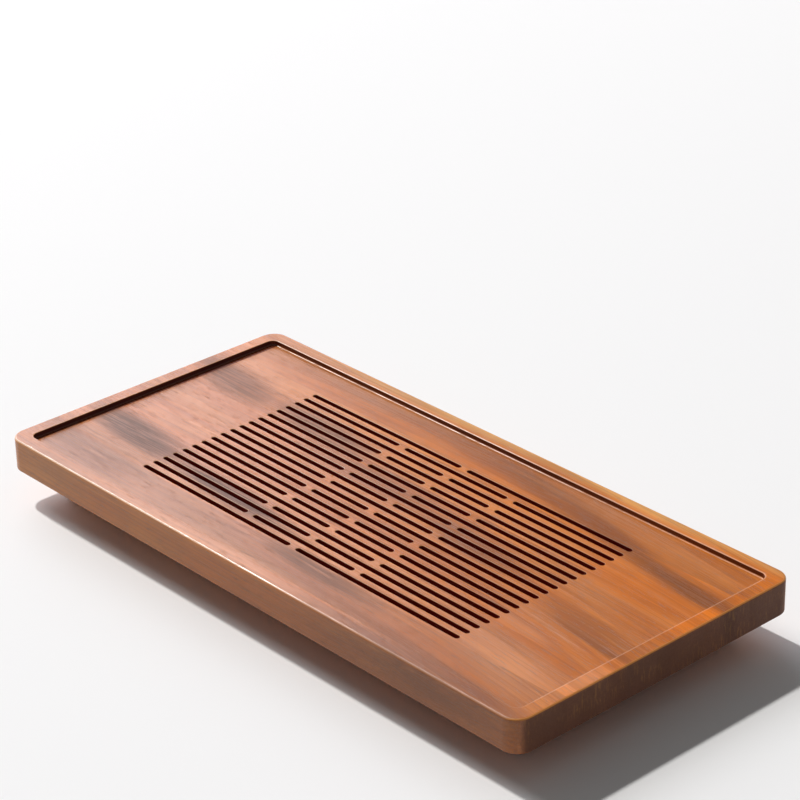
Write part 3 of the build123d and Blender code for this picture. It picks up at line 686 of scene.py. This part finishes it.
class TeaTrayWood(bpy.types.PropertyGroup):
    """Colours and grain of the walnut"""

    light_colour: bpy.props.FloatVectorProperty(
        name="Light wood", description="Palest colour of the walnut",
        default=(0.76, 0.258, 0.056), subtype="COLOR")
    warm_colour: bpy.props.FloatVectorProperty(
        name="Warm wood", description="Warmer colour that drifts through the boards",
        default=(0.70, 0.196, 0.022), subtype="COLOR")
    deep_colour: bpy.props.FloatVectorProperty(
        name="Late wood", description="Darker lines of the growth rings and fibres",
        default=(0.31, 0.075, 0.012), subtype="COLOR")
    brown_colour: bpy.props.FloatVectorProperty(
        name="Brown wood", description="Brown bands of the deck's figure",
        default=(0.285, 0.088, 0.018), subtype="COLOR")
    # painted shadow: also the colour of the window-bar shadows on the deck
    streak_and_shadow_colour: bpy.props.FloatVectorProperty(
        name="Streaks", description="Dark heartwood streaks",
        default=(0.140, 0.042, 0.010), subtype="COLOR")
    golden_colour: bpy.props.FloatVectorProperty(
        name="Golden wood", description="Orange-gold patches of the deck's figure",
        default=(0.76, 0.190, 0.006), subtype="COLOR")
    # also lays the painted sheen along the near rim and at the near right
    pale_colour: bpy.props.FloatVectorProperty(
        name="Pale wood", description="Paler patches and lines of the deck's figure",
        default=(0.84, 0.370, 0.175), subtype="COLOR")
    sapwood_colour: bpy.props.FloatVectorProperty(
        name="Sapwood", description="Yellow-brown wood along the far rim",
        default=(0.80, 0.430, 0.140), subtype="COLOR")
    pore_colour: bpy.props.FloatVectorProperty(
        name="Pores", description="Pores and sawn ends",
        default=(0.085, 0.024, 0.007), subtype="COLOR")
    # painted highlight: the pale lines on the top edges
    edge_highlight_colour: bpy.props.FloatVectorProperty(
        name="Rubbed edges", description="Top edges, paler where hands rub them",
        default=(0.92, 0.66, 0.48), subtype="COLOR")
    # painted highlight on the top edges at the drawer's end
    end_edge_highlight_colour: bpy.props.FloatVectorProperty(
        name="Drawer end edge", description="Orange top edge at the drawer's end",
        default=(0.95, 0.34, 0.03), subtype="COLOR")
    side_tint: bpy.props.FloatVectorProperty(
        name="Side tint", description="Yellows the long sides, which are handled less",
        default=(1.0, 0.97, 0.45), subtype="COLOR")
    end_grain_colour: bpy.props.FloatVectorProperty(
        name="End grain flecks", description="Olive-gold rays and rings in the sawn ends",
        default=(0.215, 0.090, 0.017), subtype="COLOR")
    # painted shade on the slots' walls
    slot_shade_colour: bpy.props.FloatVectorProperty(
        name="Slot walls", description="Slot walls, darkened and reddened by tea and oil",
        default=(0.230, 0.010, 0.002), subtype="COLOR")
    # painted shade on the rim's inner walls and the left rim's painted shadow on the deck
    rim_wall_shade_colour: bpy.props.FloatVectorProperty(
        name="Rim walls", description="Inner walls of the rim, darkened by tea and oil",
        default=(0.085, 0.004, 0.001), subtype="COLOR")
    ring_spacing: bpy.props.FloatProperty(
        name="Ring spacing", description="Distance between growth rings",
        default=0.0034, subtype="DISTANCE")
    ring_unevenness: bpy.props.FloatProperty(
        name="Ring unevenness", description="How much the rings bunch and spread", default=2.4)
    ring_strength: bpy.props.FloatProperty(
        name="Ring strength", description="Darkness of the ring lines",
        default=0.42, subtype="FACTOR")
    grain_wander: bpy.props.FloatProperty(
        name="Grain wander", description="How far the grain bends aside",
        default=0.012, subtype="DISTANCE")
    grain_drift: bpy.props.FloatProperty(
        name="Grain drift", description="How fast the grain runs aside towards the drawer's end",
        default=0.22)
    figure_strength: bpy.props.FloatProperty(
        name="Figure", description="Strength of the broad dark figure",
        default=0.38, subtype="FACTOR")
    grain_relief: bpy.props.FloatProperty(
        name="Grain relief", description="Depth of the open grain", default=0.55, subtype="FACTOR")
    rim_polish: bpy.props.FloatProperty(
        name="Rim polish", description="How much paler hands have rubbed the rim", default=1.22)
    # strength of the painted highlight on the top edges
    edge_highlight_strength: bpy.props.FloatProperty(
        name="Edge wear", description="How pale the rubbed top edges are", default=0.80,
        subtype="FACTOR")
    # strength of the painted highlight along the well's top edge
    well_edge_highlight_strength: bpy.props.FloatProperty(
        name="Well edge wear", description="How pale the well's rubbed top edge is", default=0.26,
        subtype="FACTOR")
    # darkens the sawn ends as end grain and as painted shade
    end_grain_and_shade: bpy.props.FloatProperty(
        name="End grain", description="Darkening of the sawn ends", default=0.90, subtype="FACTOR")
    roughness: bpy.props.FloatProperty(
        name="Oil sheen", description="Roughness of the oiled surface",
        default=0.175, subtype="FACTOR")


class TeaTrayFinishes(bpy.types.PropertyGroup):
    """Colours of the pale woods, the metals, the nylon and the rubber"""

    birch: bpy.props.FloatVectorProperty(
        name="Birch", description="Light wood of the bottom board",
        default=(0.64, 0.46, 0.27), subtype="COLOR")
    birch_figure: bpy.props.FloatVectorProperty(
        name="Birch figure", description="Darker figure and fibres of the bottom board",
        default=(0.50, 0.33, 0.17), subtype="COLOR")
    birch_fleck: bpy.props.FloatVectorProperty(
        name="Birch flecks", description="Flecks and crossed plies of the bottom board",
        default=(0.30, 0.17, 0.08), subtype="COLOR")
    beech: bpy.props.FloatVectorProperty(
        name="Beech", description="Light wood of the dowels and pins",
        default=(0.62, 0.38, 0.21), subtype="COLOR")
    beech_figure: bpy.props.FloatVectorProperty(
        name="Beech figure", description="Darker figure and fibres of the dowels and pins",
        default=(0.50, 0.28, 0.14), subtype="COLOR")
    beech_fleck: bpy.props.FloatVectorProperty(
        name="Beech flecks", description="Flecks of the dowels and pins",
        default=(0.26, 0.12, 0.05), subtype="COLOR")
    steel: bpy.props.FloatVectorProperty(
        name="Pan steel", description="Brushed steel of the drip pan",
        default=(0.44, 0.44, 0.44), subtype="COLOR")
    steel_lines: bpy.props.FloatVectorProperty(
        name="Pan lines", description="Brushed lines of the drip pan",
        default=(0.33, 0.33, 0.32), subtype="COLOR")
    steel_roughness: bpy.props.FloatProperty(
        name="Pan roughness", description="How blurred the pan's reflections are",
        default=0.45, subtype="FACTOR")
    zinc: bpy.props.FloatVectorProperty(
        name="Zinc", description="Plating of the screws",
        default=(0.64, 0.64, 0.62), subtype="COLOR")
    zinc_lines: bpy.props.FloatVectorProperty(
        name="Zinc lines", description="Yellowed lines in the screws' plating",
        default=(0.50, 0.47, 0.36), subtype="COLOR")
    zinc_roughness: bpy.props.FloatProperty(
        name="Zinc roughness", description="How blurred the screws' reflections are",
        default=0.26, subtype="FACTOR")
    nylon: bpy.props.FloatVectorProperty(
        name="Nylon", description="Glide strips under the drawer",
        default=(0.80, 0.79, 0.74), subtype="COLOR")
    bumper: bpy.props.FloatVectorProperty(
        name="Bumpers", description="Grey rubber behind the drawer",
        default=(0.16, 0.16, 0.16), subtype="COLOR")
    rubber: bpy.props.FloatVectorProperty(
        name="Feet", description="Black rubber of the feet",
        default=(0.035, 0.034, 0.033), subtype="COLOR")


class TeaTrayHardware(bpy.types.PropertyGroup):
    """Sizes of the screws and the rubber feet"""

    shank_width: bpy.props.FloatProperty(
        name="Shank", description="Outside width of the screw threads",
        default=0.0035, subtype="DISTANCE")
    tip_length: bpy.props.FloatProperty(
        name="Tip", description="Length of the screw's point", default=0.004, subtype="DISTANCE")
    thread_pitch: bpy.props.FloatProperty(
        name="Thread pitch", description="Rise of the screw thread in one turn",
        default=0.0014, subtype="DISTANCE")
    thread_depth: bpy.props.FloatProperty(
        name="Thread depth", description="Depth of the thread", default=0.00042,
        subtype="DISTANCE")
    pan_head_height: bpy.props.FloatProperty(
        name="Pan head", description="Height of the rail screws' heads", default=0.0024,
        subtype="DISTANCE")
    flat_head_height: bpy.props.FloatProperty(
        name="Countersunk head", description="Height of the batten screws' heads",
        default=0.0022, subtype="DISTANCE")
    drive_width: bpy.props.FloatProperty(
        name="Drive", description="Width of the cross recess", default=0.0032,
        subtype="DISTANCE")
    drive_depth: bpy.props.FloatProperty(
        name="Drive depth", description="Depth of the cross recess", default=0.0013,
        subtype="DISTANCE")
    foot_height: bpy.props.FloatProperty(
        name="Foot", description="Height of a foot below the rail", default=0.003,
        subtype="DISTANCE")
    stem_share: bpy.props.FloatProperty(
        name="Stem", description="Width of the foot's stem as a share of the foot",
        default=0.48, subtype="FACTOR")


class TeaTrayStage(bpy.types.PropertyGroup):
    """Camera, light and floor"""

    azimuth: bpy.props.FloatProperty(
        name="Azimuth", description="Turn of the camera round the tray",
        default=math.radians(48.3417), subtype="ANGLE")
    elevation: bpy.props.FloatProperty(
        name="Elevation", description="Height of the camera above the horizon",
        default=math.radians(26.7125), subtype="ANGLE")
    roll: bpy.props.FloatProperty(
        name="Roll", description="Tilt of the camera about its own axis",
        default=math.radians(-1.2772), subtype="ANGLE")
    distance: bpy.props.FloatProperty(
        name="Distance", description="From the camera to the point it looks at",
        default=1.98631, subtype="DISTANCE")
    aim: bpy.props.FloatVectorProperty(
        name="Aim", description="Point on the deck that the camera looks at",
        default=(-0.10598, 0.11326, 0.0434), subtype="TRANSLATION")
    lens: bpy.props.FloatProperty(
        name="Lens", description="Focal length on a 36 mm sensor", default=127.263)
    floor_colour: bpy.props.FloatVectorProperty(
        name="Floor", description="Colour of the table top",
        default=(0.88, 0.88, 0.88), subtype="COLOR")


class TEATRAY_OT_slab(bpy.types.Operator):
    """Finish the six glued staves of the slab"""

    bl_idname = "teatray.slab"
    bl_label = "Slab"

    def execute(self, context):
        wood = context.scene.tea_tray_wood
        for number, name in enumerate(STAVES):
            low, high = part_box(name)
            middle = (low.y + high.y) / 2
            lean = 1 if number % 2 else -1
            board = (0.37 * number, 0.0, 0.11 * number)
            below = HEART_BELOW + HEART_STEP * (number % 3)
            # each stave's top gets the deck's figure with painted shadows and sheen, and painted
            # highlights and shade
            dress(name, walnut(f"walnut_stave_{number + 1}", wood, board,
                               (middle + lean * HEART_ASIDE, SLAB_BOTTOM - below),
                               tone=STAVE_TONES[number], streaks=DECK_FIGURE_SHADOW_AND_SHEEN, wear_and_painted_light=True))
        return {"FINISHED"}


class TEATRAY_OT_base(bpy.types.Operator):
    """Finish the battens, the rails and the bottom board"""

    bl_idname = "teatray.base"
    bl_label = "Base"

    def execute(self, context):
        wood = context.scene.tea_tray_wood
        finishes = context.scene.tea_tray_finishes
        for number, name in enumerate(("base_front_rail", "base_back_rail")):
            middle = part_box(name)[0].y
            dress(name, walnut(f"walnut_{name}", wood, (1.3 + number, 0.0, 0.4),
                               (middle + 0.06, -0.05), tone=0.72))
        for number, name in enumerate(("base_end_rail", "slab_batten_left", "slab_batten_right")):
            dress(name, walnut(f"walnut_{name}", wood, (2.1 + number, 0.2, 0.3),
                               (0.05, -0.06), along="Y", tone=0.75))
        low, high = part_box("base_bottom_board")
        dress("base_bottom_board",
              pale_wood("birch_plywood", finishes.birch, finishes.birch_figure,
                        finishes.birch_fleck, plies=(low.z, (high.z - low.z) / PLIES)))
        dress("frame_dowels", pale_wood("beech_dowel", finishes.beech, finishes.beech_figure,
                                        finishes.beech_fleck))
        return {"FINISHED"}


class TEATRAY_OT_drawer(bpy.types.Operator):
    """Finish the drawer's frame, its pins and its steel pan"""

    bl_idname = "teatray.drawer"
    bl_label = "Drawer"

    def execute(self, context):
        wood = context.scene.tea_tray_wood
        finishes = context.scene.tea_tray_finishes
        for number, name in enumerate(("drawer_side_front", "drawer_side_back")):
            dress(name, walnut(f"walnut_{name}", wood, (3.3 + number, 0.1, 0.2),
                               (0.07, -0.08), tone=0.85))
        for number, name in enumerate(("drawer_front", "drawer_back")):
            dress(name, walnut(f"walnut_{name}", wood, (4.6 + number, 0.3, 0.1),
                               (0.06, -0.07), along="Y", tone=0.85))
        dress("drawer_pins", pale_wood("beech_pin", finishes.beech, finishes.beech_figure,
                                       finishes.beech_fleck))
        dress("drip_pan", metal("brushed_pan_steel", finishes.steel, finishes.steel_roughness,
                                STEEL_LINES, STEEL_DEPTH, finishes.steel_lines))
        return {"FINISHED"}


class TEATRAY_OT_runners(bpy.types.Operator):
    """Finish the nylon glide strips and the drawer's bumpers"""

    bl_idname = "teatray.runners"
    bl_label = "Glides and bumpers"

    def execute(self, context):
        finishes = context.scene.tea_tray_finishes
        nylon = plain_finish("nylon_glide", finishes.nylon, 0.42, speck=500.0, depth=0.06)
        for name in ("drawer_glide_front", "drawer_glide_back"):
            dress(name, nylon)
        dress("drawer_bumpers",
              plain_finish("clear_grey_rubber", finishes.bumper, 0.7, speck=900.0))
        return {"FINISHED"}


class TEATRAY_OT_feet(bpy.types.Operator):
    """Mould the rubber feet with their barbed stems"""

    bl_idname = "teatray.feet"
    bl_label = "Feet"

    def execute(self, context):
        sizes = context.scene.tea_tray_hardware
        finishes = context.scene.tea_tray_finishes
        low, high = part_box(FEET[0])
        tall = high.z - low.z
        sole = sizes.foot_height / tall
        stem = sizes.stem_share
        profile = [
            (0.0, sole * 0.16), (0.30, sole * 0.16), (0.40, sole * 0.13), (0.46, sole * 0.03),
            (0.52, 0.0), (0.80, 0.0), (0.90, sole * 0.04), (0.97, sole * 0.14),
            (1.0, sole * 0.30), (1.0, sole * 0.84), (0.985, sole * 0.95), (0.95, sole),
            (stem, sole), (stem * 0.86, sole * 1.10), (stem * 0.86, sole * 1.55),
            (stem, sole * 1.60), (stem * 0.86, sole * 1.95), (stem * 0.86, sole * 2.20),
            (stem, sole * 2.25), (stem * 0.86, sole * 2.60), (stem * 0.86, 0.93),
            (stem * 0.60, 1.0), (0.0, 1.0),
        ]
        shape = Shape("turned_foot", {"Radius": (high.x - low.x) / 2, "Height": tall})
        given = shape.given
        shape.placed(shape.turned(profile, given["Radius"], given["Height"], around=48))
        places = []
        for name in FEET:
            low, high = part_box(name)
            places.append(((low.x + high.x) / 2, (low.y + high.y) / 2, low.z))
        rubber = plain_finish("black_rubber", finishes.rubber, 0.72, speck=900.0, depth=0.3)
        grow("rubber_feet", shape, places, rubber, "tray", FEET)
        return {"FINISHED"}


PAN_HEAD = [
    (0.0, -1.0), (0.55, -1.0), (0.74, -0.97), (0.88, -0.86), (0.97, -0.66), (1.0, -0.42),
    (1.0, -0.06), (0.97, 0.0), (0.4, 0.0), (0.0, 0.0),
]
FLAT_HEAD = [
    (0.0, 0.0), (0.97, 0.0), (1.0, 0.02), (1.0, 0.10), (0.5, 1.0), (0.0, 1.0),
]


class TEATRAY_OT_screws(bpy.types.Operator):
    """Turn the pan-head rail screws and the countersunk batten screws"""

    bl_idname = "teatray.screws"
    bl_label = "Screws"

    def execute(self, context):
        sizes = context.scene.tea_tray_hardware
        finishes = context.scene.tea_tray_finishes
        zinc = metal("zinc_screw", finishes.zinc, finishes.zinc_roughness, ZINC_LINES,
                     ZINC_DEPTH, finishes.zinc_lines)
        kinds = (
            ("slab_screws", PAN_HEAD, sizes.pan_head_height, 1.0),
            ("batten_screws", FLAT_HEAD, sizes.flat_head_height, 0.0),
        )
        for name, profile, head_height, below in kinds:
            boxes = islands(name)
            low, high = boxes[0]
            seat = low.z + head_height * below
            shape = Shape(f"turned_{name}", {
                "Head radius": (high.x - low.x) / 2,
                "Head height": head_height,
                "Shank radius": sizes.shank_width / 2,
                "Length": high.z - seat,
                "Tip": sizes.tip_length,
                "Pitch": sizes.thread_pitch,
                "Thread depth": sizes.thread_depth,
                "Drive width": sizes.drive_width,
                "Drive depth": sizes.drive_depth,
            })
            given = shape.given
            head = shape.turned(profile, given["Head radius"], given["Head height"])
            bottom = shape.product(given["Head height"], -below)
            head = shape.recess(head, given["Drive width"], given["Drive depth"], bottom)
            turns = math.ceil((high.z - seat) / sizes.thread_pitch)
            shank = shape.threaded(given["Shank radius"], given["Length"], given["Tip"],
                                   given["Pitch"], given["Thread depth"], turns)
            shape.placed(shape.joined(head, shank), seed=TURN_SEED)
            places = [((a.x + b.x) / 2, (a.y + b.y) / 2, seat) for a, b in boxes]
            grow("turned_" + name, shape, places, zinc, "tray", [name])
        return {"FINISHED"}


def area_lamp(name, place, aim, size, power, tint):
    data = bpy.data.lights.new(name, "AREA")
    if isinstance(size, tuple):
        data.shape = "RECTANGLE"
        data.size, data.size_y = size
    else:
        data.shape = "DISK"
        data.size = size
    data.energy = power
    data.color = tint
    lamp = bpy.data.objects.new(name, data)
    bpy.context.scene.collection.objects.link(lamp)
    lamp.location = place
    lamp.rotation_euler = (Vector(aim) - Vector(place)).to_track_quat("-Z", "Y").to_euler()
    return lamp


class TEATRAY_OT_stage(bpy.types.Operator):
    """Set up the floor, the lamps, the world and the camera"""

    bl_idname = "teatray.stage"
    bl_label = "Stage"

    def execute(self, context):
        scene = context.scene
        stage = scene.tea_tray_stage
        work = bmesh.new()
        bmesh.ops.create_grid(work, x_segments=1, y_segments=1, size=FLOOR_REACH)
        mesh = bpy.data.meshes.new("table_top")
        work.to_mesh(mesh)
        work.free()
        floor = bpy.data.objects.new("table_top", mesh)
        scene.collection.objects.link(floor)
        paint, graph = new_finish("table_paint")
        shader = graph.add("ShaderNodeBsdfPrincipled", {
            "Base Color": colour(stage.floor_colour),
            "Roughness": 0.75,
            "Specular IOR Level": 0.2,
        })
        graph.add("ShaderNodeOutputMaterial", {"Surface": shader.outputs[0]})
        mesh.materials.append(paint)

        for lamp in LAMPS:
            area_lamp(*lamp)

        world = bpy.data.worlds.new("pale_room")
        world.use_nodes = True
        graph = Graph(world.node_tree)
        room = graph.add("ShaderNodeBackground", {
            "Color": (1.0, 1.0, 1.0, 1.0), "Strength": ROOM_LIGHT,
        })
        graph.add("ShaderNodeOutputWorld", {"Surface": room.outputs[0]})
        scene.world = world
        scene.view_settings.view_transform = "Standard"

        data = bpy.data.cameras.new("camera")
        data.sensor_width = SENSOR_WIDTH
        data.lens = stage.lens
        camera = bpy.data.objects.new("camera", data)
        scene.collection.objects.link(camera)
        back_way = Vector((
            math.sin(stage.azimuth) * math.cos(stage.elevation),
            -math.cos(stage.azimuth) * math.cos(stage.elevation),
            math.sin(stage.elevation),
        ))
        turn = (-back_way).to_track_quat("-Z", "Y").to_matrix().to_4x4()
        roll = Matrix.Rotation(stage.roll, 4, "Z")
        camera.matrix_world = (
            Matrix.Translation(Vector(stage.aim) + back_way * stage.distance) @ turn @ roll
        )
        scene.camera = camera
        return {"FINISHED"}


class TEATRAY_PT_panel(bpy.types.Panel):
    """The tray's pieces and settings"""

    bl_label = "Tea Tray"
    bl_idname = "TEATRAY_PT_panel"
    bl_space_type = "VIEW_3D"
    bl_region_type = "UI"
    bl_category = "Tea Tray"

    def draw(self, context):
        for operator in OPERATORS:
            self.layout.operator(operator.bl_idname)
        for group in GROUPS:
            settings = getattr(context.scene, group)
            box = self.layout.box()
            for key in settings.__annotations__:
                box.prop(settings, key)


GROUPS = {
    "tea_tray_wood": TeaTrayWood,
    "tea_tray_finishes": TeaTrayFinishes,
    "tea_tray_hardware": TeaTrayHardware,
    "tea_tray_stage": TeaTrayStage,
}
OPERATORS = (
    TEATRAY_OT_slab,
    TEATRAY_OT_base,
    TEATRAY_OT_drawer,
    TEATRAY_OT_runners,
    TEATRAY_OT_feet,
    TEATRAY_OT_screws,
    TEATRAY_OT_stage,
)


def register():
    for kind in (*GROUPS.values(), *OPERATORS, TEATRAY_PT_panel):
        bpy.utils.register_class(kind)
    for name, kind in GROUPS.items():
        setattr(bpy.types.Scene, name, bpy.props.PointerProperty(type=kind))


def unregister():
    for name in GROUPS:
        delattr(bpy.types.Scene, name)
    for kind in reversed((*GROUPS.values(), *OPERATORS, TEATRAY_PT_panel)):
        bpy.utils.unregister_class(kind)


def main():
    register()
    for operator in OPERATORS:
        group, name = operator.bl_idname.split(".")
        getattr(getattr(bpy.ops, group), name)()


if __name__ == "__main__":
    main()
